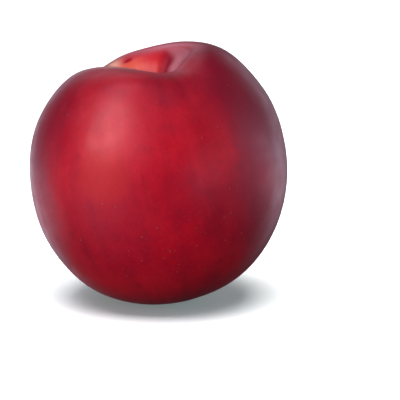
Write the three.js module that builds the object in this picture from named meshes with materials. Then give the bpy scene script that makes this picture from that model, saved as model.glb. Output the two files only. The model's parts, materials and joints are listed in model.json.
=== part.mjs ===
// A ripe nectarine, picked without its stalk: one solid that grew as one piece.
//
// Millimetres, +Z up. The origin is the middle of the small flat spot that the fruit rests on.
// The suture, the crease down one side of the fruit, faces -Y and is turned towards +X. The stem
// end leans towards -X, so the blossom end sits just clear of the ground on the +X side.

import * as THREE from 'three';
import { mergeVertices } from 'three/addons/utils/BufferGeometryUtils.js';

// ---------- Driving dimensions (millimetres and degrees) ----------

// The body. Its profile is a circle bent by a few harmonics of the angle from the stem: broad
// shoulders, full cheeks and a bottom that is a little flatter than a ball.
const bodyRadius = 35.6;
const profileHarmonics = [
  { times: 2, share: -0.0117 },
  { times: 3, share: -0.0144 },
  { times: 4, share: -0.0167 },
];
const cheekFullness = 0.007;     // the two cheeks stand out, the suture side and back fall in
const cheekSkew = 0.0154;        // the right cheek is fuller above and the left one below

// The raised ring of the shoulders round the stem cavity.
const shoulderHeight = 1.46;
const shoulderAngle = 32.3;      // from the stem's axis
const shoulderWidth = 15;
const shoulderToRight = 0.4;     // how much higher the ring is on the right
const shoulderToSuture = 0.9;    // and on the suture's side

// The stem cavity: an oval funnel, a little off the axis, its long way turned from the right
// towards the suture.
const cavityDepth = 10.9;
const cavityRadius = 7.8;
const cavityRoundness = 2.4;
const cavityStretch = 1.3;
const cavityTurn = 49;
const cavityRight = 1.2;
const cavityTowardsSuture = -0.9;

// The scar that the stalk left on the cavity's floor: a pit inside a low ring.
const scarRadius = 2.4;
const scarRingWidth = 0.9;
const scarRingHeight = 0.5;
const scarPitDepth = 0.7;

// The notch where the suture runs over the cavity's rim: a gentle slope on the left, a steep
// one on the right.
const notchDepth = 4.9;
const notchRight = 3;
const notchLeftWidth = 10.6;
const notchRightWidth = 6.2;
const notchTowardsSuture = 11.8;
const notchLength = 14.8;

// The shallower saddle in the rim on the side away from the suture.
const saddleDepth = 2;
const saddleLeft = 6;
const saddleWidth = 6.5;
const saddleBehind = 18.3;
const saddleLength = 12;

// The cavity, notch and saddle fade away below this height, over this reach up and down.
const topHeight = 6;
const topReach = 8;

// The suture: a fine crease from the notch down to the blossom end, fainter below.
const sutureDepthAbove = 0.16;
const sutureDepthBelow = 0.06;
const sutureWidth = 1.8;
const sutureStart = 4;           // how far out from the axis the crease begins
const sutureStartReach = 6;
const sutureDeepening = 8;       // the height where its depth is halfway from below to above
const sutureDeepeningReach = 16;

// The blossom end: a shallow dimple with a small point in the middle.
const dimpleDepth = 0.8;
const dimpleRadius = 2.8;
const pointHeight = 0.6;
const pointRadius = 1.2;
const underneathHeight = 20;     // how far below the fruit's middle the dimple's effect begins
const underneathReach = 8;

// How the fruit lies.
const sutureTurn = 25.3;         // the suture's turn from -Y towards +X
const stemLean = 10;             // the stem end's lean towards -X
const flatSink = 0.6;            // how much of the underside is pressed flat
const flatBlend = 0.12;          // half the height over which the flat spot rounds off

// The grid that covers the skin. Rows crowd together at both ends of the fruit and columns
// crowd together at the suture.
const columns = 84;
const rows = 56;
const rowCrowding = 0.45;
const columnCrowding = 0.4;

// ---------- Small shapes that the surface is made of ----------

// 1 at the centre, falling away to nothing over about twice the width.
function bell(distance, width) {
  return Math.exp(-((distance / width) ** 2));
}

// 0 below -reach, 1 above +reach, smooth in between.
function rampUp(distance, reach) {
  return THREE.MathUtils.smoothstep(distance, -reach, reach);
}

// ---------- The fruit in its own frame ----------
// The stem's axis is +Z, right is +X and the suture runs down the -Y side.

// Distance from the middle of the fruit to the skin, before the cavity and the creases.
function bodyReach(fromStem, fromSuture) {
  const outward = Math.sin(fromStem);
  const toRight = outward * Math.sin(fromSuture);
  const toSuture = outward * Math.cos(fromSuture);
  let swell = 1 + cheekFullness * (toSuture ** 2 - toRight ** 2);
  swell += cheekSkew * 2 * Math.cos(fromStem) * toRight;
  for (const { times, share } of profileHarmonics) {
    swell += share * Math.cos(times * fromStem);
  }
  const ring = bell(THREE.MathUtils.radToDeg(fromStem) - shoulderAngle, shoulderWidth);
  const lopsided = 1 + shoulderToRight * toRight + shoulderToSuture * toSuture;
  return bodyRadius * swell + shoulderHeight * ring * lopsided;
}

// Depth of the stem cavity and its scar under a point of the top.
function cavityDrop(right, towardsSuture) {
  const turn = THREE.MathUtils.degToRad(cavityTurn);
  const x = right - cavityRight;
  const y = towardsSuture - cavityTowardsSuture;
  const along = (x * Math.cos(turn) + y * Math.sin(turn)) / cavityStretch;
  const across = (y * Math.cos(turn) - x * Math.sin(turn)) * cavityStretch;
  const funnel = Math.exp(-((Math.hypot(along, across) / cavityRadius) ** cavityRoundness));
  const fromScar = Math.hypot(x, y);
  const ring = bell(fromScar - scarRadius, scarRingWidth);
  const pit = bell(fromScar, scarRadius / 2);
  return cavityDepth * funnel - scarRingHeight * ring + scarPitDepth * pit;
}

// Depth of the notch and the saddle in the cavity's rim.
function rimDrop(right, towardsSuture) {
  const x = right - notchRight;
  const notchWidth = x < 0 ? notchLeftWidth : notchRightWidth;
  const notch = bell(x, notchWidth) * bell(towardsSuture - notchTowardsSuture, notchLength);
  const saddle = bell(right + saddleLeft, saddleWidth)
    * bell(towardsSuture + saddleBehind, saddleLength);
  return notchDepth * notch + saddleDepth * saddle;
}

// Moves one point of the unit sphere onto the skin.
function placeOnSkin(point) {
  const fromStem = Math.acos(THREE.MathUtils.clamp(point.z, -1, 1));
  const fromSuture = Math.atan2(point.x, -point.y);
  point.multiplyScalar(bodyReach(fromStem, fromSuture));

  const right = point.x;
  const towardsSuture = -point.y;
  const onTop = rampUp(point.z - topHeight, topReach);
  point.z -= onTop * (cavityDrop(right, towardsSuture) + rimDrop(right, towardsSuture));

  const underneath = rampUp(-point.z - underneathHeight, underneathReach);
  const fromBlossom = Math.hypot(right, towardsSuture);
  const dimple = dimpleDepth * bell(fromBlossom, dimpleRadius);
  const tip = pointHeight * bell(fromBlossom, pointRadius);
  point.z += underneath * (dimple - tip);

  const onSutureSide = rampUp(towardsSuture - sutureStart, sutureStartReach);
  const above = rampUp(point.z - sutureDeepening, sutureDeepeningReach);
  const depth = THREE.MathUtils.lerp(sutureDepthBelow, sutureDepthAbove, above);
  const crease = depth * bell(right, sutureWidth) * onSutureSide;
  point.multiplyScalar(1 - crease / bodyRadius);
}

// ---------- The grid ----------

// Spreads the sphere's even rows and columns so that they crowd where the shape is finest.
function crowdGrid(point, rowShare, columnShare) {
  const fullTurn = 2 * Math.PI;
  const evenly = rowShare - rowCrowding * Math.sin(fullTurn * rowShare) / fullTurn;
  const fromStem = Math.PI * evenly;
  const aroundEvenly = fullTurn * columnShare;
  const fromSuture = aroundEvenly - columnCrowding * Math.sin(aroundEvenly);
  const outward = Math.sin(fromStem);
  point.set(outward * Math.sin(fromSuture), -outward * Math.cos(fromSuture), Math.cos(fromStem));
}

// Presses the underside flat at z = 0, rounding off into the skin over the blend's height.
function pressFlat(point) {
  if (point.z <= -flatBlend) {
    point.z = 0;
  } else if (point.z < flatBlend) {
    point.z = (point.z + flatBlend) ** 2 / (4 * flatBlend);
  }
}

// Calls change(point, index) on every vertex of a geometry and keeps what it did.
function reshape(geometry, change) {
  const positions = geometry.getAttribute('position');
  const point = new THREE.Vector3();
  for (let index = 0; index < positions.count; index += 1) {
    point.fromBufferAttribute(positions, index);
    change(point, index);
    positions.setXYZ(index, point.x, point.y, point.z);
  }
}

// The middle of the vertices that lie below a height.
function middleBelow(geometry, height) {
  const middle = new THREE.Vector3();
  let found = 0;
  reshape(geometry, (point) => {
    if (point.z < height) {
      middle.add(point);
      found += 1;
    }
  });
  return middle.divideScalar(found);
}

function fruitGeometry() {
  const sphere = new THREE.SphereGeometry(1, columns, rows);
  const gridShares = sphere.getAttribute('uv');
  reshape(sphere, (point, index) => {
    crowdGrid(point, 1 - gridShares.getY(index), gridShares.getX(index));
    placeOnSkin(point);
  });
  sphere.deleteAttribute('uv');
  sphere.deleteAttribute('normal');
  const skin = mergeVertices(sphere);

  skin.rotateZ(THREE.MathUtils.degToRad(sutureTurn));
  skin.rotateY(THREE.MathUtils.degToRad(-stemLean));
  skin.computeBoundingBox();
  skin.translate(0, 0, -flatSink - skin.boundingBox.min.z);
  const flatMiddle = middleBelow(skin, -flatBlend);
  skin.translate(-flatMiddle.x, -flatMiddle.y, 0);
  reshape(skin, pressFlat);
  skin.computeVertexNormals();
  return skin;
}

// ---------- The part ----------

const skinMaterial = new THREE.MeshStandardMaterial({
  color: 0x9e1a2e,
  roughness: 0.4,
  metalness: 0,
});

const nectarine = new THREE.Mesh(fruitGeometry(), skinMaterial);
nectarine.name = 'nectarine';

const part = new THREE.Group();
part.add(nectarine);

export default part;
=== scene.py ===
"""A ripe nectarine on a pale studio floor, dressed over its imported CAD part.

The skin is a finer copy of the CAD fruit: merged, turned into quads, smoothed, and given the
low relief that the CAD part leaves out. Its finish is one procedural material.
"""

import json
import math

import bpy
from mathutils import Matrix, Vector, noise

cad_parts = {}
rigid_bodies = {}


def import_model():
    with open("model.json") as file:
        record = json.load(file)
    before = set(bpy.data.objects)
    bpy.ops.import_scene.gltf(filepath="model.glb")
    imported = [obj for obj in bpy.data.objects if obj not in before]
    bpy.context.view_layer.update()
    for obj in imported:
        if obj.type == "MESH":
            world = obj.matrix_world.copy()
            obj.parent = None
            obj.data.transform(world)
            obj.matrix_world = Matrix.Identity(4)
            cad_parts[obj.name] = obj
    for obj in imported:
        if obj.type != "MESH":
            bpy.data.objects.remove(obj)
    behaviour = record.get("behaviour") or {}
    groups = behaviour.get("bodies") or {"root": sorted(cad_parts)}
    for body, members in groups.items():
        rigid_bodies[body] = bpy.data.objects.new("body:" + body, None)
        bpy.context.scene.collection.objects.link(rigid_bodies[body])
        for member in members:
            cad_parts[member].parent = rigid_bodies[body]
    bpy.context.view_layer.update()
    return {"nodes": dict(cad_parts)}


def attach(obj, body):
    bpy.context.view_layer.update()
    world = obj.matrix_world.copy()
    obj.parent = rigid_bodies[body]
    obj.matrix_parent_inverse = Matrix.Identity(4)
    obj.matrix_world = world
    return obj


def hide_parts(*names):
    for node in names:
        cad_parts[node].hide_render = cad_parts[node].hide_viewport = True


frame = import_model()
CAD_NODE = "nectarine"
BODY = "root"
PIECE = "nectarine_skin"

MILLIMETRE = 0.001

bl_info = {
    "name": "Ripe nectarine",
    "version": (1, 0, 0),
    "blender": (4, 5, 0),
    "location": "View3D > Sidebar > Nectarine",
    "description": "Dresses the CAD nectarine with its skin and sets up a small studio",
    "category": "Object",
}


# ---------- What a user would change ----------


class NectarineForm(bpy.types.PropertyGroup):
    """Low relief and the places of the fruit's features, in the fruit's own frame."""

    smoothing: bpy.props.IntProperty(
        name="Smoothing",
        description="Levels of Subdivision Surface on the merged copy",
        default=2,
        min=1,
        max=2,
    )
    undulation: bpy.props.FloatProperty(
        name="Undulation",
        description="Depth of the broad, slow waves of the flesh under the skin",
        default=0.17 * MILLIMETRE,
        precision=5,
        subtype="DISTANCE",
        unit="LENGTH",
    )
    undulation_size: bpy.props.FloatProperty(
        name="Undulation size",
        description="Distance over which the slow waves rise and fall",
        default=17 * MILLIMETRE,
        precision=5,
        subtype="DISTANCE",
        unit="LENGTH",
    )
    pucker: bpy.props.FloatProperty(
        name="Pucker",
        description="Depth of the radial folds inside the stem cavity",
        default=0.12 * MILLIMETRE,
        precision=5,
        subtype="DISTANCE",
        unit="LENGTH",
    )
    scar_radius: bpy.props.FloatProperty(
        name="Scar radius",
        description="Radius of the scar that the stalk left on the cavity's floor",
        default=2.4 * MILLIMETRE,
        precision=5,
        subtype="DISTANCE",
        unit="LENGTH",
    )
    scar_roughness: bpy.props.FloatProperty(
        name="Scar roughness",
        description="Depth of the torn fibres on the scar",
        default=0.22 * MILLIMETRE,
        precision=5,
        subtype="DISTANCE",
        unit="LENGTH",
    )
    blossom_radius: bpy.props.FloatProperty(
        name="Blossom radius",
        description="Radius of the dry patch round the blossom point",
        default=1.5 * MILLIMETRE,
        precision=5,
        subtype="DISTANCE",
        unit="LENGTH",
    )


class NectarineColours(bpy.types.PropertyGroup):
    """Colours and finish of the skin. Colours are linear."""

    crimson: bpy.props.FloatVectorProperty(
        name="Crimson",
        description="The skin's main red",
        default=(0.500, 0.0045, 0.0180, 1.0),
        size=4,
        min=0.0,
        max=1.0,
        subtype="COLOR",
    )
    # Scarlet is also laid under the fruit as painted bounce light from the floor.
    scarlet: bpy.props.FloatVectorProperty(
        name="Scarlet",
        description="The brighter red that shows between the crimson patches",
        default=(0.620, 0.0100, 0.0220, 1.0),
        size=4,
        min=0.0,
        max=1.0,
        subtype="COLOR",
    )
    maroon: bpy.props.FloatVectorProperty(
        name="Maroon",
        description="The darkest red, in patches and streaks",
        default=(0.260, 0.0040, 0.0180, 1.0),
        size=4,
        min=0.0,
        max=1.0,
        subtype="COLOR",
    )
    # Also the colour of painted shade, on the patches and on the cavity's wall.
    dusk_and_shade: bpy.props.FloatVectorProperty(
        name="Dusk",
        description="The purplish red of the two darker cheeks",
        default=(0.210, 0.0050, 0.0230, 1.0),
        size=4,
        min=0.0,
        max=1.0,
        subtype="COLOR",
    )
    warm: bpy.props.FloatVectorProperty(
        name="Warm red",
        description="The slightly orange red of the cheek that faces the light",
        default=(0.540, 0.0085, 0.0050, 1.0),
        size=4,
        min=0.0,
        max=1.0,
        subtype="COLOR",
    )
    ground: bpy.props.FloatVectorProperty(
        name="Ground colour",
        description="The orange yellow under the red, which shows in the stem cavity",
        default=(0.970, 0.160, 0.042, 1.0),
        size=4,
        min=0.0,
        max=1.0,
        subtype="COLOR",
    )
    cavity_red: bpy.props.FloatVectorProperty(
        name="Cavity red",
        description="The bright red of the cavity's walls",
        default=(0.620, 0.0110, 0.0220, 1.0),
        size=4,
        min=0.0,
        max=1.0,
        subtype="COLOR",
    )
    # Partly the lip's paler skin and partly painted light on its thin edge.
    lip: bpy.props.FloatVectorProperty(
        name="Lip",
        description="The pale line where the skin turns over into the cavity",
        default=(0.950, 0.520, 0.360, 1.0),
        size=4,
        min=0.0,
        max=1.0,
        subtype="COLOR",
    )
    # Partly the skin's waxy dust and partly a painted sheen on the ridges and the rim.
    bloom: bpy.props.FloatVectorProperty(
        name="Bloom",
        description="The dusty wax on the ridges round the cavity",
        default=(0.660, 0.245, 0.300, 1.0),
        size=4,
        min=0.0,
        max=1.0,
        subtype="COLOR",
    )
    lenticel: bpy.props.FloatVectorProperty(
        name="Lenticel",
        description="The small pale breathing spots of the skin",
        default=(0.620, 0.110, 0.095, 1.0),
        size=4,
        min=0.0,
        max=1.0,
        subtype="COLOR",
    )
    scar: bpy.props.FloatVectorProperty(
        name="Scar",
        description="The dry brown of the stalk scar and the blossom point",
        default=(0.150, 0.0600, 0.0250, 1.0),
        size=4,
        min=0.0,
        max=1.0,
        subtype="COLOR",
    )
    scar_fibre: bpy.props.FloatVectorProperty(
        name="Scar fibre",
        description="The paler brown of the scar's torn fibres",
        default=(0.360, 0.1900, 0.0900, 1.0),
        size=4,
        min=0.0,
        max=1.0,
        subtype="COLOR",
    )
    roughness: bpy.props.FloatProperty(
        name="Roughness",
        description="Middle roughness of the skin's natural wax",
        default=0.36,
        min=0.0,
        max=1.0,
        subtype="FACTOR",
    )
    lenticel_spacing: bpy.props.FloatProperty(
        name="Lenticel spacing",
        description="Usual distance between the pale spots",
        default=2.6 * MILLIMETRE,
        precision=5,
        subtype="DISTANCE",
        unit="LENGTH",
    )


class NectarineStage(bpy.types.PropertyGroup):
    """The studio: floor, lights and camera."""

    floor_size: bpy.props.FloatProperty(
        name="Floor size",
        description="Side of the square floor",
        default=6.0,
        subtype="DISTANCE",
        unit="LENGTH",
    )
    floor_glow: bpy.props.FloatProperty(
        name="Floor glow",
        description="How much light the floor gives off by itself, so that it stays pale",
        default=0.18,
        min=0.0,
    )
    floor_power: bpy.props.FloatProperty(
        name="Floor power",
        description="Power of the overhead soft box, which lights only the floor",
        default=30.0,
        min=0.0,
        unit="POWER",
    )
    key_power: bpy.props.FloatProperty(
        name="Key power",
        description="Power of the soft box on the left, which makes the highlight",
        default=1.35,
        min=0.0,
        unit="POWER",
    )
    front_power: bpy.props.FloatProperty(
        name="Front power",
        description="Power of the soft box beside the camera, which lights the colours",
        default=4.1,
        min=0.0,
        unit="POWER",
    )
    camera_distance: bpy.props.FloatProperty(
        name="Camera distance",
        description="Distance from the camera to the point it looks at",
        default=0.6,
        subtype="DISTANCE",
        unit="LENGTH",
    )
    camera_elevation: bpy.props.FloatProperty(
        name="Camera elevation",
        description="How far above the level the camera looks down from",
        default=math.radians(12),
        subtype="ANGLE",
        unit="ROTATION",
    )
    camera_lens: bpy.props.FloatProperty(
        name="Lens",
        description="Focal length of the camera, in millimetres",
        default=197.42,
        min=1.0,
        unit="CAMERA",
    )


# ---------- The fruit's own frame ----------
# Its stem axis is +Z, right is +X, the suture runs down the -Y side, and it is in millimetres.

STEM_LEAN = math.radians(10)
SUTURE_TURN = math.radians(25.3)
BLOSSOM_TO_MIDDLE = 34.9

CAVITY_MIDDLE = Vector((1.2, 0.9))
CAVITY_RADIUS = 7.8
CAVITY_ROUNDNESS = 2.4
CAVITY_STRETCH = 1.3
CAVITY_TURN = math.radians(49)

# Broad patches of another colour: the colour's name, azimuth and elevation of the middle, how
# squarely the skin must face it to start and to be full, and how far it takes over. The purplish
# patches are partly the skin's own darker cheeks and partly painted shade: on the right side,
# towards the left edge, low on the front and in the suture's valley below the cavity. The scarlet
# patch underneath is painted bounce light from the floor.
PATCHES = (
    ("dusk_and_shade", 75, 40, 0.75, 0.91, 0.85),
    ("dusk_and_shade", 85, 5, 0.58, 0.78, 0.60),
    ("dusk_and_shade", -92, 27, 0.62, 0.95, 0.85),
    ("dusk_and_shade", -88, -12, 0.72, 0.87, 0.45),
    ("dusk_and_shade", 38, -8, 0.92, 0.99, 0.35),
    ("dusk_and_shade", -22, -16, 0.86, 0.98, 0.22),
    ("dusk_and_shade", 6, 49, 0.976, 0.997, 0.42),
    ("dusk_and_shade", 80, 76, 0.960, 0.995, 0.35),
    ("dusk_and_shade", 12, 2, 0.970, 0.995, 0.25),
    ("warm", -24, 9, 0.965, 0.995, 0.65),
    ("scarlet", -40, -62, 0.87, 0.98, 0.50),
)

# The side of the cavity that stays the skin's own red, because the suture's notch opens there:
# its angle from the right towards the suture, how wide it is, where the bright red is full, and
# how much further the bright red spreads where the cavity is deeper.
NOTCH_SIDE = 45
NOTCH_HALF = 48
NOTCH_END = 87
NOTCH_SPREAD = 40
NOTCH_SHARE = 0.20

# Painted shade: how the bright red fades towards the cavity's floor, and comes back round the
# scar.
RECESS_SHADE_START = 0.32
RECESS_SHADE_END = 0.62
RECESS_SHADE_LEAST = 0.25
SCAR_START = 0.60
SCAR_END = 0.85

# Painted shadow of a crease: the small dark mark just under the rim behind the cavity, at the
# left. It also has less gloss.
SHADED_SIDE = -89.5
SHADED_SPREAD = 8
SHADED_SHARE = 0.143
SHADED_SLOPE = 0.0022
SHADED_WIDTH = 0.040
SHADED_STRENGTH = 1.4
SHADED_DULLNESS = 1.4
SHADED_PALENESS = 0.2

# The pale stretch of the lip, the pale spot on the rim at its left end, the spot's fainter tail
# on the wall, and the orange wall beside them. The stretch and the spot are partly the lip's
# paler skin and partly painted light on its thin edge; the tail is a painted highlight.
LIP_REACH = 2.1
LIP_WIDTH = 0.24
LIP_SIDE = 145
LIP_SPREAD = 30
LIP_STRENGTH = 0.5
PALE_SPOT = Vector((-2.3, 12.6))
PALE_SPOT_WIDTH = 2.0
PALE_TAIL = Vector((0.6, 9.0))
PALE_TAIL_WIDTH = 2.4
PALE_TAIL_STRENGTH = 0.13
PALE_TAIL_START = 0.23
PALE_TAIL_END = 0.31
ORANGE_SIDE = -92
ORANGE_SPREAD = 24
ORANGE_START = 0.06
ORANGE_END = 0.20
# How much orange is left in the painted shade towards the cavity's floor.
ORANGE_RECESS_SHADE_LEAST = 0.4

# The dusty wax on the ridge beside the notch, partly its own pale dust and partly a painted
# sheen. It begins further round where the cavity is deeper, fades out towards the notch, and is
# stronger between the rim and the cavity's floor.
RIDGE_SIDE = 18
RIDGE_BEND = 600
RIDGE_DEEP = 0.34
RIDGE_BELOW = 0.08
RIDGE_EDGE = 13
RIDGE_FADE = 30
RIDGE_END = 80
RIDGE_RIM = 0.015
RIDGE_NARROWING = 0.0018
RIDGE_RISE = 0.06
RIDGE_LEAST = 0.60
RIDGE_THIN = 0.12
RIDGE_FULL = 0.34
RIDGE_FOOT = 0.48
RIDGE_FLOOR = 0.64

# The dusty wax on the rim, partly its own pale dust and partly a painted sheen, mostly behind
# the cavity. It lies further out in front, and has a gap beside the notch.
RIM_REACH = 1.66
RIM_WIDTH = 0.20
RIM_SIDE = -20
RIM_SPREAD = 45
RIM_LEAST = 0.30
RIM_WIDE_SIDE = 135
RIM_WIDE_SPREAD = 60
RIM_WIDENING = 0.4
RIM_GAP_SIDE = 58
RIM_GAP_SPREAD = 20
RIM_GAP_LEAST = 0.2

# The part of the wall with the least gloss.
DULL_SHARE = 0.20
DULL_WIDTH = 0.12
DULL_SIDE = -38
DULL_SPREAD = 32

# The heights between which the top of the fruit begins, and those between which the blossom
# end does.
TOP_START = 6
TOP_END = 16
BLOSSOM_START = -20
BLOSSOM_END = -28

# The suture's line: how wide it is, and how far from the stem it begins and is full.
SUTURE_WIDTH = 1.6
SUTURE_START = 4
SUTURE_FULL = 12

# The relief: the height over which it fades in above the flat spot, the finer waves, the folds
# of the wall, and how finely the scar is torn and its edge is ragged.
RELIEF_START = 0.4
RELIEF_FULL = 5
FINE_WAVE = 0.01
FINE_WAVE_SIZE = 3.5
FOLD_TURNS = 2.6
FOLD_LENGTHS = 0.05
FIBRES = 2.1
RAGGED = 0.25
RAGGED_FOLDS = 0.9


def bell(distance, width):
    """1 at the centre, falling away to nothing over about twice the width."""
    return math.exp(-((distance / width) ** 2))


def ramp(value, low, high):
    """0 below low, 1 above high, smooth in between. High may be the smaller one."""
    share = min(max((value - low) / (high - low), 0.0), 1.0)
    return share * share * (3 - 2 * share)


def waves(place):
    """Smooth noise, from -1 to 1."""
    return noise.noise(place) * 2


def turned_by(around, side):
    """How many degrees one angle is from another, whichever way is shorter."""
    return abs((around - side + 180) % 360 - 180)


def heading_of(azimuth, elevation):
    """A direction: azimuth 0 is towards the camera, 90 to its right, both in degrees."""
    around = math.radians(azimuth)
    above = math.radians(elevation)
    level = math.cos(above)
    return Vector((math.sin(around) * level, -math.cos(around) * level, math.sin(above)))


def fruit_turn():
    """The turn that brings the fruit's own frame into the row's frame."""
    lean = Matrix.Rotation(-STEM_LEAN, 3, "Y")
    return lean @ Matrix.Rotation(SUTURE_TURN, 3, "Z")


def fruit_middle(mesh):
    """The middle of the fruit in the row's frame, in metres, found from its blossom point."""
    edges_at = [0] * len(mesh.vertices)
    for edge in mesh.edges:
        for end in edge.vertices:
            edges_at[end] += 1
    poles = sorted(range(len(edges_at)), key=edges_at.__getitem__)[-2:]
    blossom = min((mesh.vertices[pole].co for pole in poles), key=lambda place: place.z)
    stem_axis = fruit_turn() @ Vector((0, 0, 1))
    return blossom + stem_axis * BLOSSOM_TO_MIDDLE * MILLIMETRE


def cavity_reach(place):
    """How far out of the oval cavity a place is, 1 on its oval, and its angle round it."""
    right = place.x - CAVITY_MIDDLE.x
    towards_suture = CAVITY_MIDDLE.y - place.y
    cos_turn = math.cos(CAVITY_TURN)
    sin_turn = math.sin(CAVITY_TURN)
    along = (right * cos_turn + towards_suture * sin_turn) / CAVITY_STRETCH
    across = (towards_suture * cos_turn - right * sin_turn) * CAVITY_STRETCH
    around = math.degrees(math.atan2(towards_suture, right))
    return math.hypot(along, across) / CAVITY_RADIUS, around


def cavity_share(place):
    """1 in the middle of the stem cavity, 0 outside it. Follows the cavity's oval."""
    reach, _ = cavity_reach(place)
    return math.exp(-(reach ** CAVITY_ROUNDNESS)) * ramp(place.z, TOP_START, TOP_END)


# ---------- The skin ----------


def deselect_all():
    """Leaves nothing selected, because operators act on all that is."""
    for other in bpy.context.view_layer.objects:
        other.select_set(False)


def merged_copy(node, name):
    """A copy of a CAD node as its own object, merged and turned into quads."""
    piece = bpy.data.objects.new(name, node.data.copy())
    bpy.context.scene.collection.objects.link(piece)
    deselect_all()
    piece.select_set(True)
    bpy.context.view_layer.objects.active = piece
    piece.data.materials.clear()
    if piece.data.has_custom_normals:
        bpy.ops.mesh.customdata_custom_splitnormals_clear()
    bpy.ops.object.mode_set(mode="EDIT")
    bpy.ops.mesh.select_all(action="SELECT")
    bpy.ops.mesh.remove_doubles(threshold=0.01 * MILLIMETRE)
    bpy.ops.mesh.tris_convert_to_quads(
        face_threshold=math.radians(60),
        shape_threshold=math.radians(60),
    )
    bpy.ops.mesh.normals_make_consistent(inside=False)
    bpy.ops.object.mode_set(mode="OBJECT")
    return piece


def smooth_over(piece, levels):
    """Rounds the quads off with Subdivision Surface and shades the piece smooth."""
    smoother = piece.modifiers.new("smoother", "SUBSURF")
    smoother.levels = levels
    smoother.render_levels = levels
    bpy.ops.object.modifier_apply(modifier=smoother.name)
    bpy.ops.object.shade_smooth()


def relief_at(place, height, form):
    """How far the skin moves outwards at a place of the fruit, in millimetres."""
    in_cavity = cavity_share(place)
    from_scar = place.xy - CAVITY_MIDDLE
    rise = form.undulation / MILLIMETRE * waves(place * MILLIMETRE / form.undulation_size)
    rise += FINE_WAVE * waves(place / FINE_WAVE_SIZE)

    on_wall = ramp(in_cavity, 0.02, 0.3) * ramp(from_scar.length, 1.2, 3.2)
    folds = (from_scar.normalized() * FOLD_TURNS).to_3d()
    folds.z = place.z * FOLD_LENGTHS
    rise += form.pucker / MILLIMETRE * waves(folds) * on_wall

    scar = form.scar_radius / MILLIMETRE
    on_scar = ramp(from_scar.length, scar * 1.25, scar * 0.7) * ramp(in_cavity, 0.3, 0.6)
    rise += form.scar_roughness / MILLIMETRE * waves(place * FIBRES) * on_scar
    return rise * ramp(height, RELIEF_START, RELIEF_FULL)


def shape_relief(piece, form):
    """Moves the vertices along their normals, and keeps the fruit above the floor."""
    mesh = piece.data
    middle = fruit_middle(mesh)
    to_fruit = fruit_turn().transposed()
    normals = [vertex.normal.copy() for vertex in mesh.vertices]
    for vertex, normal in zip(mesh.vertices, normals):
        place = to_fruit @ (vertex.co - middle) / MILLIMETRE
        rise = relief_at(place, vertex.co.z / MILLIMETRE, form)
        vertex.co += normal * rise * MILLIMETRE
        vertex.co.z = max(vertex.co.z, 0.0)
    mesh.update()
    return middle


def shaded_at(in_cavity, around):
    """The painted shadow of a crease at the cavity's left end."""
    share = SHADED_SHARE - SHADED_SLOPE * (around - SHADED_SIDE)
    shaded = bell(turned_by(around, SHADED_SIDE), SHADED_SPREAD)
    shaded *= bell(in_cavity - share, SHADED_WIDTH)
    return min(SHADED_STRENGTH * shaded, 1.0)


def bright_at(in_cavity, around, recess_shade):
    """The bright red of the wall, everywhere but beside the notch, dimmed by painted shade
    towards the cavity's floor.
    """
    from_notch = turned_by(around, NOTCH_SIDE) + NOTCH_SPREAD * (in_cavity - NOTCH_SHARE)
    bright = ramp(from_notch, NOTCH_HALF, NOTCH_END)
    bright = max(bright, ramp(in_cavity, SCAR_START, SCAR_END))
    return bright * (1 - (1 - RECESS_SHADE_LEAST) * recess_shade)


def ridge_at(in_cavity, around):
    """The dusty wax on the ridge beside the notch, partly a painted sheen."""
    from_deep = min(in_cavity - RIDGE_DEEP, RIDGE_BELOW)
    start = RIDGE_SIDE - RIDGE_BEND * from_deep ** 2
    rim = RIDGE_RIM + RIDGE_NARROWING * max(around, 0)
    ridge = ramp(around - start, -RIDGE_EDGE, RIDGE_EDGE)
    ridge *= ramp(around, RIDGE_END, RIDGE_FADE)
    ridge *= ramp(in_cavity, rim, rim + RIDGE_RISE)
    ridge *= RIDGE_LEAST + (1 - RIDGE_LEAST) * ramp(in_cavity, RIDGE_THIN, RIDGE_FULL)
    return ridge * ramp(in_cavity, RIDGE_FLOOR, RIDGE_FOOT)


def rim_at(reach, around):
    """The dusty wax on the rim, partly a painted sheen."""
    from_wide_side = turned_by(around, RIM_WIDE_SIDE)
    rim_reach = RIM_REACH + RIM_WIDENING * bell(from_wide_side, RIM_WIDE_SPREAD)
    rim = bell(reach - rim_reach, RIM_WIDTH)
    rim *= RIM_LEAST + (1 - RIM_LEAST) * bell(turned_by(around, RIM_SIDE), RIM_SPREAD)
    gap = bell(turned_by(around, RIM_GAP_SIDE), RIM_GAP_SPREAD)
    return rim * (1 - (1 - RIM_GAP_LEAST) * gap)


def lip_at(place, in_cavity, reach, around):
    """The pale stretch of the lip, with the spot at its left end and the spot's tail: partly
    paler skin and partly painted light, the tail a painted highlight.
    """
    lip = LIP_STRENGTH * bell(reach - LIP_REACH, LIP_WIDTH)
    lip *= bell(turned_by(around, LIP_SIDE), LIP_SPREAD)
    spot = bell((place.xy - PALE_SPOT).length, PALE_SPOT_WIDTH)
    tail = PALE_TAIL_STRENGTH * bell((place.xy - PALE_TAIL).length, PALE_TAIL_WIDTH)
    tail *= ramp(in_cavity, PALE_TAIL_START, PALE_TAIL_END)
    return max(lip, spot, tail)


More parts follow.
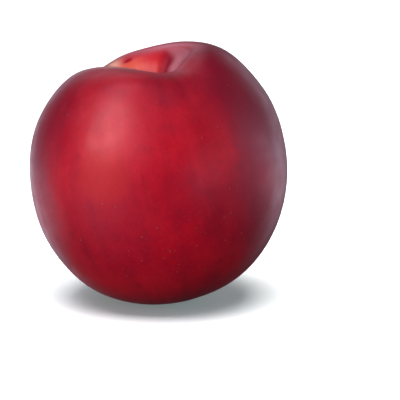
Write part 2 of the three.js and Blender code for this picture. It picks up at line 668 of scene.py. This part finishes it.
def masks_at(place, form):
    """How strongly each feature of the skin shows at a place of the fruit."""
    in_cavity = cavity_share(place)
    reach, around = cavity_reach(place)
    on_top = ramp(place.z, TOP_START, TOP_END)
    near_scar = ramp(in_cavity, SCAR_START, SCAR_END)
    # Painted shade: the cavity's colours dim towards its floor, but not round the scar.
    recess_shade = ramp(in_cavity, RECESS_SHADE_START, RECESS_SHADE_END) * (1 - near_scar)
    shaded = shaded_at(in_cavity, around)

    orange = bell(turned_by(around, ORANGE_SIDE), ORANGE_SPREAD)
    orange *= ramp(in_cavity, ORANGE_START, ORANGE_END)
    orange *= (1 - shaded) * (1 - (1 - ORANGE_RECESS_SHADE_LEAST) * recess_shade)
    dull = bell(in_cavity - DULL_SHARE, DULL_WIDTH)
    dull *= bell(turned_by(around, DULL_SIDE), DULL_SPREAD)
    lip = lip_at(place, in_cavity, reach, around) * (1 - (1 - SHADED_PALENESS) * shaded)

    ragged = RAGGED * waves(place * RAGGED_FOLDS)
    from_scar = (place.xy - CAVITY_MIDDLE).length + ragged
    from_axis = place.xy.length + ragged
    scar = form.scar_radius / MILLIMETRE
    blossom = form.blossom_radius / MILLIMETRE
    on_scar = ramp(from_scar, scar * 1.15, scar * 0.75) * ramp(in_cavity, 0.3, 0.6)
    on_blossom = ramp(from_axis, blossom * 1.3, blossom * 0.6)
    return {
        "cavity": in_cavity,
        # The bright red, lowered by painted shade towards the floor and by the crease's painted
        # shadow.
        "bright": bright_at(in_cavity, around, recess_shade) * (1 - shaded),
        "orange": orange,
        "bloom": on_top * max(ridge_at(in_cavity, around), rim_at(reach, around)),
        "lip": on_top * lip,
        "dull": max(dull, SHADED_DULLNESS * shaded),
        "scar": on_scar,
        "suture": bell(place.x, SUTURE_WIDTH) * ramp(-place.y, SUTURE_START, SUTURE_FULL),
        "blossom": on_blossom * ramp(place.z, BLOSSOM_START, BLOSSOM_END),
    }


def paint_masks(piece, middle, form):
    """Keeps the masks on the mesh, where the finish reads them."""
    mesh = piece.data
    to_fruit = fruit_turn().transposed()
    places = [to_fruit @ (vertex.co - middle) / MILLIMETRE for vertex in mesh.vertices]
    masks = [masks_at(place, form) for place in places]
    for name in masks[0]:
        painted = mesh.attributes.new(name, "FLOAT", "POINT")
        painted.data.foreach_set("value", [mask[name] for mask in masks])


# ---------- The skin's finish ----------


class Finish:
    """A node tree, with short words for the nodes that the skin, floor and room need."""

    def __init__(self, owner):
        owner.use_nodes = True
        self.tree = owner.node_tree
        self.tree.nodes.clear()

    def add(self, kind, settings=None, inputs=None):
        """Adds a node, sets its settings and fills or links its inputs."""
        made = self.tree.nodes.new(kind)
        for name, value in (settings or {}).items():
            setattr(made, name, value)
        for name, value in (inputs or {}).items():
            if isinstance(value, bpy.types.NodeSocket):
                self.tree.links.new(value, made.inputs[name])
            else:
                made.inputs[name].default_value = value
        return made

    def mask(self, name):
        """A mask that was kept on the mesh."""
        return self.add("ShaderNodeAttribute", {"attribute_name": name}).outputs["Fac"]

    def math(self, operation, first, second=0.0, third=0.0):
        """One sum on two or three values."""
        inputs = {0: first, 1: second, 2: third}
        return self.add("ShaderNodeMath", {"operation": operation}, inputs).outputs[0]

    def vectors(self, operation, first, second):
        """One sum on two vectors."""
        settings = {"operation": operation}
        return self.add("ShaderNodeVectorMath", settings, {0: first, 1: second})

    def stretched(self, value, low, high, out_low=0.0, out_high=1.0):
        """The value from low to high, spread smoothly from out_low to out_high."""
        inputs = {
            "Value": value,
            "From Min": low,
            "From Max": high,
            "To Min": out_low,
            "To Max": out_high,
        }
        settings = {"interpolation_type": "SMOOTHSTEP"}
        return self.add("ShaderNodeMapRange", settings, inputs).outputs["Result"]

    def blended(self, share, below, above):
        """One colour laid over another, by a share from 0 to 1."""
        settings = {"data_type": "RGBA", "blend_type": "MIX"}
        inputs = {"Factor": share, 6: below, 7: above}
        return self.add("ShaderNodeMix", settings, inputs).outputs[2]

    def shaded(self, share, colour, tone):
        """A colour multiplied by a tone, by a share from 0 to 1."""
        settings = {"data_type": "RGBA", "blend_type": "MULTIPLY"}
        inputs = {"Factor": share, 6: colour, 7: tone}
        return self.add("ShaderNodeMix", settings, inputs).outputs[2]

    def facing(self, place, azimuth, elevation):
        """How squarely a place of the fruit faces a heading: 1 straight at it, -1 away."""
        unit = self.add("ShaderNodeVectorMath", {"operation": "NORMALIZE"}, {0: place})
        toward = fruit_turn().transposed() @ heading_of(azimuth, elevation)
        return self.vectors("DOT_PRODUCT", unit.outputs[0], toward).outputs["Value"]

    def cells(self, where, spacing):
        """Scattered points, usually this many millimetres apart."""
        inputs = {"Vector": where, "Scale": 1 / spacing, "Randomness": 1.0}
        return self.add("ShaderNodeTexVoronoi", {"feature": "F1"}, inputs)

    def cloud(self, where, feature, detail=3.0, roughness=0.5, distortion=0.0):
        """Soft noise whose features are about this many millimetres across."""
        inputs = {
            "Vector": where,
            "Scale": 1 / feature,
            "Detail": detail,
            "Roughness": roughness,
            "Distortion": distortion,
        }
        return self.add("ShaderNodeTexNoise", None, inputs).outputs["Fac"]


# Darker tones that the red is multiplied by, how much of one the suture gets, and how much
# closer together the specks are than the spots.
HAIR_TONE = (0.55, 0.60, 0.70, 1.0)
GRAIN_TONE = (0.60, 0.62, 0.70, 1.0)
SUTURE_TONE = (0.55, 0.60, 0.70, 1.0)
HALO_TONE = (0.55, 0.55, 0.65, 1.0)
SUTURE_DARKENING = 0.22
SPECK_CLOSENESS = 2.1

# What lies over the cavity's red, from the bottom up: the mask, its strength and its colour.
CAVITY_LAYERS = (
    ("orange", 0.45, "ground"),
    ("bloom", 0.82, "bloom"),
    # The lip layer is partly painted light on the lip's thin edge.
    ("lip", 0.85, "lip"),
)

# The wax's gloss, how much of it is lost where the wax is thin, and how much rougher the scar is.
WAX_GLOSS = 0.62
DULL_LOSS = 0.434
DRY_ROUGHNESS = 0.35


def fruit_place(finish, middle):
    """The place on the skin in the fruit's own frame, in millimetres."""
    where = finish.add("ShaderNodeTexCoord").outputs["Object"]
    inputs = {
        "Vector": where,
        "Location": middle,
        "Rotation": fruit_turn().to_euler("XYZ"),
        "Scale": (MILLIMETRE, MILLIMETRE, MILLIMETRE),
    }
    return finish.add("ShaderNodeMapping", {"vector_type": "TEXTURE"}, inputs).outputs[0]


def meridian_place(finish, place, turns, along):
    """A place for streaks that run from the stem to the blossom and never meet a seam."""
    parts = finish.add("ShaderNodeSeparateXYZ", None, {0: place})
    right = finish.math("SUBTRACT", parts.outputs["X"], CAVITY_MIDDLE.x)
    behind = finish.math("SUBTRACT", parts.outputs["Y"], CAVITY_MIDDLE.y)
    level = finish.add("ShaderNodeCombineXYZ", None, {"X": right, "Y": behind}).outputs[0]
    unit = finish.vectors("NORMALIZE", level, (0.0, 0.0, 0.0)).outputs[0]
    ring = finish.vectors("MULTIPLY", unit, (turns, turns, turns)).outputs[0]
    from_stem = finish.math("MULTIPLY", parts.outputs["Z"], along)
    lifted = finish.add("ShaderNodeCombineXYZ", None, {"Z": from_stem}).outputs[0]
    return finish.vectors("ADD", ring, lifted).outputs[0]


def mottled_red(finish, place, colours):
    """Crimson, with scarlet where the red is thin and maroon where it is thick."""
    crimson = tuple(colours.crimson)
    scarlet = tuple(colours.scarlet)
    maroon = tuple(colours.maroon)
    broad = finish.cloud(place, 24, 3, 0.5, 0.2)
    colour = finish.blended(finish.stretched(broad, 0.45, 0.70, 0.0, 0.60), crimson, scarlet)
    mottling = finish.cloud(place, 6.0, 3, 0.55, 0.15)
    thick = finish.stretched(mottling, 0.50, 0.75, 0.0, 0.40)
    thin = finish.stretched(mottling, 0.50, 0.28, 0.0, 0.40)
    colour = finish.blended(thick, colour, maroon)
    colour = finish.blended(thin, colour, scarlet)
    broad_streaks = meridian_place(finish, place, 3.2, 0.022)
    streaks = finish.cloud(broad_streaks, 1.0, 4, 0.55, 0.15)
    colour = finish.blended(finish.stretched(streaks, 0.50, 0.72, 0.0, 0.42), colour, maroon)
    # The patches: darker cheeks partly of painted shade, a warmer cheek, and painted bounce
    # light.
    for name, azimuth, elevation, start, full, share in PATCHES:
        facing = finish.facing(place, azimuth, elevation)
        patch = finish.stretched(facing, start, full, 0.0, share)
        colour = finish.blended(patch, colour, tuple(getattr(colours, name)))
    return colour


def finely_shaded(finish, place, colour):
    """The same red with hair-thin streaks, grain and the suture's slightly darker line."""
    fine_streaks = meridian_place(finish, place, 15.0, 0.05)
    hairs = finish.cloud(fine_streaks, 1.0, 3, 0.6, 0.2)
    colour = finish.shaded(finish.stretched(hairs, 0.48, 0.75, 0.0, 0.26), colour, HAIR_TONE)
    grain = finish.cloud(place, 0.9, 4, 0.7)
    colour = finish.shaded(finish.stretched(grain, 0.42, 0.68, 0.0, 0.24), colour, GRAIN_TONE)
    suture = finish.math("MULTIPLY", finish.mask("suture"), SUTURE_DARKENING)
    return finish.shaded(suture, colour, SUTURE_TONE)


def spotted(finish, place, colours, colour):
    """The small pale spots, some of them missing, and finer specks low down."""
    spacing = colours.lenticel_spacing / MILLIMETRE
    lenticel = tuple(colours.lenticel)
    height = finish.add("ShaderNodeSeparateXYZ", None, {0: place}).outputs["Z"]
    cells = finish.cells(place, spacing)
    chance = finish.add("ShaderNodeSeparateColor", None, {0: cells.outputs["Color"]})
    lower_down = finish.stretched(height, 22, -18, -0.25, 0.35)
    luck = finish.math("ADD", chance.outputs[0], lower_down)
    present = finish.stretched(luck, 0.45, 0.85)
    near_spot = finish.stretched(cells.outputs["Distance"], 0.140, 0.050)
    spots = finish.math("MULTIPLY", near_spot, present)
    halo = finish.stretched(cells.outputs["Distance"], 0.34, 0.12, 0.0, 0.20)
    colour = finish.shaded(finish.math("MULTIPLY", halo, present), colour, HALO_TONE)
    colour = finish.blended(finish.math("MULTIPLY", spots, 0.45), colour, lenticel)

    speck_cells = finish.cells(place, spacing / SPECK_CLOSENESS)
    specks = finish.stretched(speck_cells.outputs["Distance"], 0.26, 0.08)
    speck_share = finish.stretched(height, 8, -22, 0.03, 0.16)
    colour = finish.blended(finish.math("MULTIPLY", specks, speck_share), colour, lenticel)
    return colour, spots


def cavity_coloured(finish, place, colours, colour):
    """Bright red walls that let the orange ground colour through, darker beside the notch and in
    painted shade.
    """
    cavity = finish.mask("cavity")
    bright = finish.mask("bright")
    rays = finish.cloud(meridian_place(finish, place, 5.0, 0.10), 1.0, 3, 0.55, 0.2)
    # The purplish red where the bright red is missing: beside the notch, and where painted shade
    # dims it.
    wall = finish.stretched(cavity, 0.08, 0.17, 0.0, 0.55)
    wall_dusk_and_shade = finish.math("MULTIPLY", wall, finish.math("SUBTRACT", 1.0, bright))
    colour = finish.blended(wall_dusk_and_shade, colour, tuple(colours.dusk_and_shade))
    reach = finish.math("ADD", cavity, finish.math("MULTIPLY_ADD", rays, 0.10, -0.05))
    red = finish.math("MULTIPLY", finish.stretched(reach, 0.04, 0.18), bright)
    colour = finish.blended(red, colour, tuple(colours.cavity_red))
    rayed = finish.math("MULTIPLY", finish.stretched(rays, 0.30, 0.66, 0.08, 0.26), bright)
    rayed = finish.math("MULTIPLY", rayed, bright)
    rayed = finish.math("MULTIPLY", finish.stretched(reach, 0.12, 0.55), rayed)
    colour = finish.blended(rayed, colour, tuple(colours.ground))
    for mask, strength, name in CAVITY_LAYERS:
        share = finish.math("MULTIPLY", finish.mask(mask), strength)
        colour = finish.blended(share, colour, tuple(getattr(colours, name)))
    return colour


def skin_finish(colours, middle):
    """The nectarine's skin: mottled crimson with streaks, pale spots and a bright cavity."""
    material = bpy.data.materials.new("nectarine_waxy_skin")
    finish = Finish(material)
    place = fruit_place(finish, middle)
    colour = mottled_red(finish, place, colours)
    colour = finely_shaded(finish, place, colour)
    colour, spots = spotted(finish, place, colours, colour)
    colour = cavity_coloured(finish, place, colours, colour)

    # The dry scar and blossom point.
    dry = finish.math("MAXIMUM", finish.mask("scar"), finish.mask("blossom"))
    fibres = finish.stretched(finish.cloud(place, 0.5, 4, 0.7), 0.35, 0.65)
    fibrous = finish.blended(fibres, tuple(colours.scar), tuple(colours.scar_fibre))
    colour = finish.blended(dry, colour, fibrous)

    # A thin wax, a little uneven, dull on the scar and thinner on part of the cavity's wall.
    wax = finish.cloud(place, 5.0, 4, 0.6)
    smoothest = colours.roughness - 0.05
    roughest = colours.roughness + 0.06
    roughness = finish.stretched(wax, 0.3, 0.7, smoothest, roughest)
    roughness = finish.math("MULTIPLY_ADD", dry, DRY_ROUGHNESS, roughness)
    gloss = finish.math("MULTIPLY_ADD", finish.mask("dull"), -DULL_LOSS, WAX_GLOSS)

    # Low relief: the grain of the skin, the raised spots and the fibres of the scar.
    pores = finish.cloud(place, 0.55, 3, 0.6)
    relief = finish.math("MULTIPLY_ADD", spots, 0.5, pores)
    bump_inputs = {"Strength": 0.35, "Distance": 0.03 * MILLIMETRE, "Height": relief}
    bump = finish.add("ShaderNodeBump", None, bump_inputs)

    shader = finish.add(
        "ShaderNodeBsdfPrincipled",
        None,
        {
            "Base Color": colour,
            "Roughness": roughness,
            "IOR": 1.55,
            "Specular IOR Level": gloss,
            "Specular Tint": (1.0, 0.50, 0.60, 1.0),
            "Subsurface Weight": 0.06,
            "Subsurface Radius": (1.0, 0.25, 0.15),
            "Subsurface Scale": 1.2 * MILLIMETRE,
            "Normal": bump.outputs["Normal"],
        },
    )
    finish.add("ShaderNodeOutputMaterial", None, {"Surface": shader.outputs[0]})
    return material


class NECTARINE_OT_fruit(bpy.types.Operator):
    """Builds the nectarine's skin over the CAD fruit and gives it its finish"""

    bl_idname = "nectarine.fruit"
    bl_label = "Build the fruit"

    def execute(self, context):
        form = context.scene.nectarine_form
        colours = context.scene.nectarine_colours
        piece = merged_copy(frame["nodes"][CAD_NODE], PIECE)
        smooth_over(piece, form.smoothing)
        middle = shape_relief(piece, form)
        paint_masks(piece, middle, form)
        piece.data.materials.append(skin_finish(colours, middle))
        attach(piece, BODY)
        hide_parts(CAD_NODE)
        return {"FINISHED"}


# ---------- The studio ----------

# The room's own glow, and its soft pale areas: azimuth, elevation, glow and narrowness. Most of
# the areas are the rounded result of a least-squares fit of the gloss on the skin, some of them
# changed afterwards. Those at (156, 6) and (-164, 26) were placed one by one.
AMBIENT = 0.04
SOFT_AREAS = (
    (-120, -15, 1.15, 40),
    (-105, 68, 1.20, 40),
    (43, 4, 1.20, 32),
    (-80, 59, 1.95, 40),
    (-52, -3, 1.25, 10),
    (-30, 33, 1.00, 30),
    (90, 12, 1.10, 14),
    (110, -2, 1.90, 40),
    (138, -11, 1.55, 35),
    (150, 22, 0.45, 30),
    (156, 6, 0.50, 30),
    (-166, 2, 0.75, 38),
    (-164, 26, 0.24, 36),
    (-150, -15, 1.45, 35),
    (14, 66, 0.40, 13),
    (-160, 44, 0.65, 40),
)
ROOM_COLOUR = (1.0, 0.90, 1.08, 1.0)
WHITE = (1.0, 1.0, 1.0, 1.0)
FLOOR_GLOW_COLOUR = (0.65, 1.0, 0.95, 1.0)
KEY_COLOUR = (1.0, 1.0, 0.86)

# The soft boxes: azimuth and elevation, distance in metres, width and height in metres.
KEY_PLACE = ((-55, 34), 0.55, (0.26, 0.36))
FRONT_PLACE = ((-20, 22), 0.80, (0.40, 0.40))
OVERHEAD_PLACE = ((-10, 80), 1.00, (1.00, 1.00))

# What the lights and the camera are turned to, on the rested fruit.
LIT_POINT = Vector((0, 0, 34)) * MILLIMETRE
SEEN_POINT = Vector((12.22, 0, 27.65)) * MILLIMETRE
SENSOR_WIDTH = 36.0
NEAREST_SEEN = 0.01


def look_at(obj, target):
    """Turns an object so that its -Z axis points at the target, its +Y axis upwards."""
    obj.rotation_euler = (target - obj.location).to_track_quat("-Z", "Y").to_euler()


def floor_finish(glow):
    """A matt pale floor that gives off a little light."""
    material = bpy.data.materials.new("studio_floor")
    finish = Finish(material)
    place = finish.add("ShaderNodeTexCoord").outputs["Object"]
    tone = finish.stretched(finish.cloud(place, 0.8, 2, 0.5), 0.3, 0.7, 0.0, 0.02)
    colour = finish.blended(tone, (0.80, 0.80, 0.80, 1.0), (0.75, 0.75, 0.75, 1.0))
    shader = finish.add(
        "ShaderNodeBsdfPrincipled",
        None,
        {
            "Base Color": colour,
            "Roughness": 0.9,
            "Specular IOR Level": 0.0,
            "Emission Color": FLOOR_GLOW_COLOUR,
            "Emission Strength": glow,
        },
    )
    finish.add("ShaderNodeOutputMaterial", None, {"Surface": shader.outputs[0]})
    return material


def add_floor(settings):
    """The floor. Only the camera sees it, so it doesn't wash out the fruit's underside."""
    deselect_all()
    bpy.ops.mesh.primitive_plane_add(size=settings.floor_size, location=(0, 0, 0))
    floor = bpy.context.active_object
    floor.name = "studio_floor"
    floor.data.materials.append(floor_finish(settings.floor_glow))
    floor.visible_diffuse = False
    floor.visible_glossy = False
    return floor


def add_soft_box(name, heading, distance, size, power, colour=WHITE[:3]):
    """A soft rectangular light that faces the fruit from a heading and a distance."""
    lamp = bpy.data.lights.new(name, "AREA")
    lamp.shape = "RECTANGLE"
    lamp.size, lamp.size_y = size
    lamp.energy = power
    lamp.color = colour
    box = bpy.data.objects.new(name, lamp)
    bpy.context.scene.collection.objects.link(box)
    box.location = LIT_POINT + heading_of(*heading).normalized() * distance
    box.visible_camera = False
    look_at(box, LIT_POINT)
    return box


def light_only(box, receiver):
    """Lets a soft box light one object and nothing else."""
    receivers = bpy.data.collections.new("lit_by_" + box.name)
    receivers.objects.link(receiver)
    box.light_linking.receiver_collection = receivers


def add_surroundings():
    """Soft pale areas round a dim room, white where the camera looks past the floor."""
    world = bpy.data.worlds.new("studio_surroundings")
    bpy.context.scene.world = world
    finish = Finish(world)
    heading = finish.add("ShaderNodeTexCoord").outputs["Generated"]
    strength = AMBIENT
    for azimuth, elevation, glow, narrowness in SOFT_AREAS:
        toward = heading_of(azimuth, elevation)
        facing = finish.vectors("DOT_PRODUCT", heading, toward).outputs["Value"]
        fall = finish.math("MULTIPLY", finish.math("SUBTRACT", facing, 1.0), narrowness)
        area = finish.math("MULTIPLY", finish.math("EXPONENT", fall), glow)
        strength = finish.math("ADD", area, strength)
    room = finish.add("ShaderNodeBackground", None, {"Color": ROOM_COLOUR, "Strength": strength})
    white = finish.add("ShaderNodeBackground", None, {"Color": WHITE, "Strength": 1.0})
    seen = finish.add("ShaderNodeLightPath").outputs["Is Camera Ray"]
    inputs = {0: seen, 1: room.outputs[0], 2: white.outputs[0]}
    both = finish.add("ShaderNodeMixShader", None, inputs)
    finish.add("ShaderNodeOutputWorld", None, {"Surface": both.outputs[0]})


def add_camera(settings):
    """The camera, in front of the fruit and a little above it."""
    elevation = settings.camera_elevation
    direction = Vector((0, -math.cos(elevation), math.sin(elevation)))
    lens = bpy.data.cameras.new("studio_camera")
    lens.lens = settings.camera_lens
    lens.sensor_width = SENSOR_WIDTH
    lens.clip_start = NEAREST_SEEN
    camera = bpy.data.objects.new("studio_camera", lens)
    bpy.context.scene.collection.objects.link(camera)
    camera.location = SEEN_POINT + direction * settings.camera_distance
    look_at(camera, SEEN_POINT)
    bpy.context.scene.camera = camera


class NECTARINE_OT_stage(bpy.types.Operator):
    """Sets up the pale floor, the soft light and the camera"""

    bl_idname = "nectarine.stage"
    bl_label = "Set up the studio"

    def execute(self, context):
        settings = context.scene.nectarine_stage
        floor = add_floor(settings)
        key = add_soft_box("key_soft_box", *KEY_PLACE, settings.key_power, KEY_COLOUR)
        key.visible_diffuse = False
        front = add_soft_box("front_soft_box", *FRONT_PLACE, settings.front_power)
        front.visible_glossy = False
        overhead = add_soft_box("overhead_soft_box", *OVERHEAD_PLACE, settings.floor_power)
        light_only(overhead, floor)
        light_only(front, bpy.data.objects[PIECE])
        add_surroundings()
        add_camera(settings)
        context.scene.view_settings.view_transform = "Standard"
        return {"FINISHED"}


# ---------- The panel and the run ----------


class NECTARINE_PT_panel(bpy.types.Panel):
    """Lists the settings and the operators in the sidebar"""

    bl_idname = "NECTARINE_PT_panel"
    bl_label = "Nectarine"
    bl_space_type = "VIEW_3D"
    bl_region_type = "UI"
    bl_category = "Nectarine"

    def draw(self, context):
        scene = context.scene
        for settings in (scene.nectarine_form, scene.nectarine_colours):
            for name in settings.__annotations__:
                self.layout.prop(settings, name)
        self.layout.operator(NECTARINE_OT_fruit.bl_idname)
        for name in scene.nectarine_stage.__annotations__:
            self.layout.prop(scene.nectarine_stage, name)
        self.layout.operator(NECTARINE_OT_stage.bl_idname)


CLASSES = (
    NectarineForm,
    NectarineColours,
    NectarineStage,
    NECTARINE_OT_fruit,
    NECTARINE_OT_stage,
    NECTARINE_PT_panel,
)


def register():
    for each in CLASSES:
        bpy.utils.register_class(each)
    bpy.types.Scene.nectarine_form = bpy.props.PointerProperty(type=NectarineForm)
    bpy.types.Scene.nectarine_colours = bpy.props.PointerProperty(type=NectarineColours)
    bpy.types.Scene.nectarine_stage = bpy.props.PointerProperty(type=NectarineStage)


def unregister():
    del bpy.types.Scene.nectarine_stage
    del bpy.types.Scene.nectarine_colours
    del bpy.types.Scene.nectarine_form
    for each in reversed(CLASSES):
        bpy.utils.unregister_class(each)


def main():
    """Builds everything."""
    register()
    bpy.ops.nectarine.fruit()
    bpy.ops.nectarine.stage()


if __name__ == "__main__":
    main()
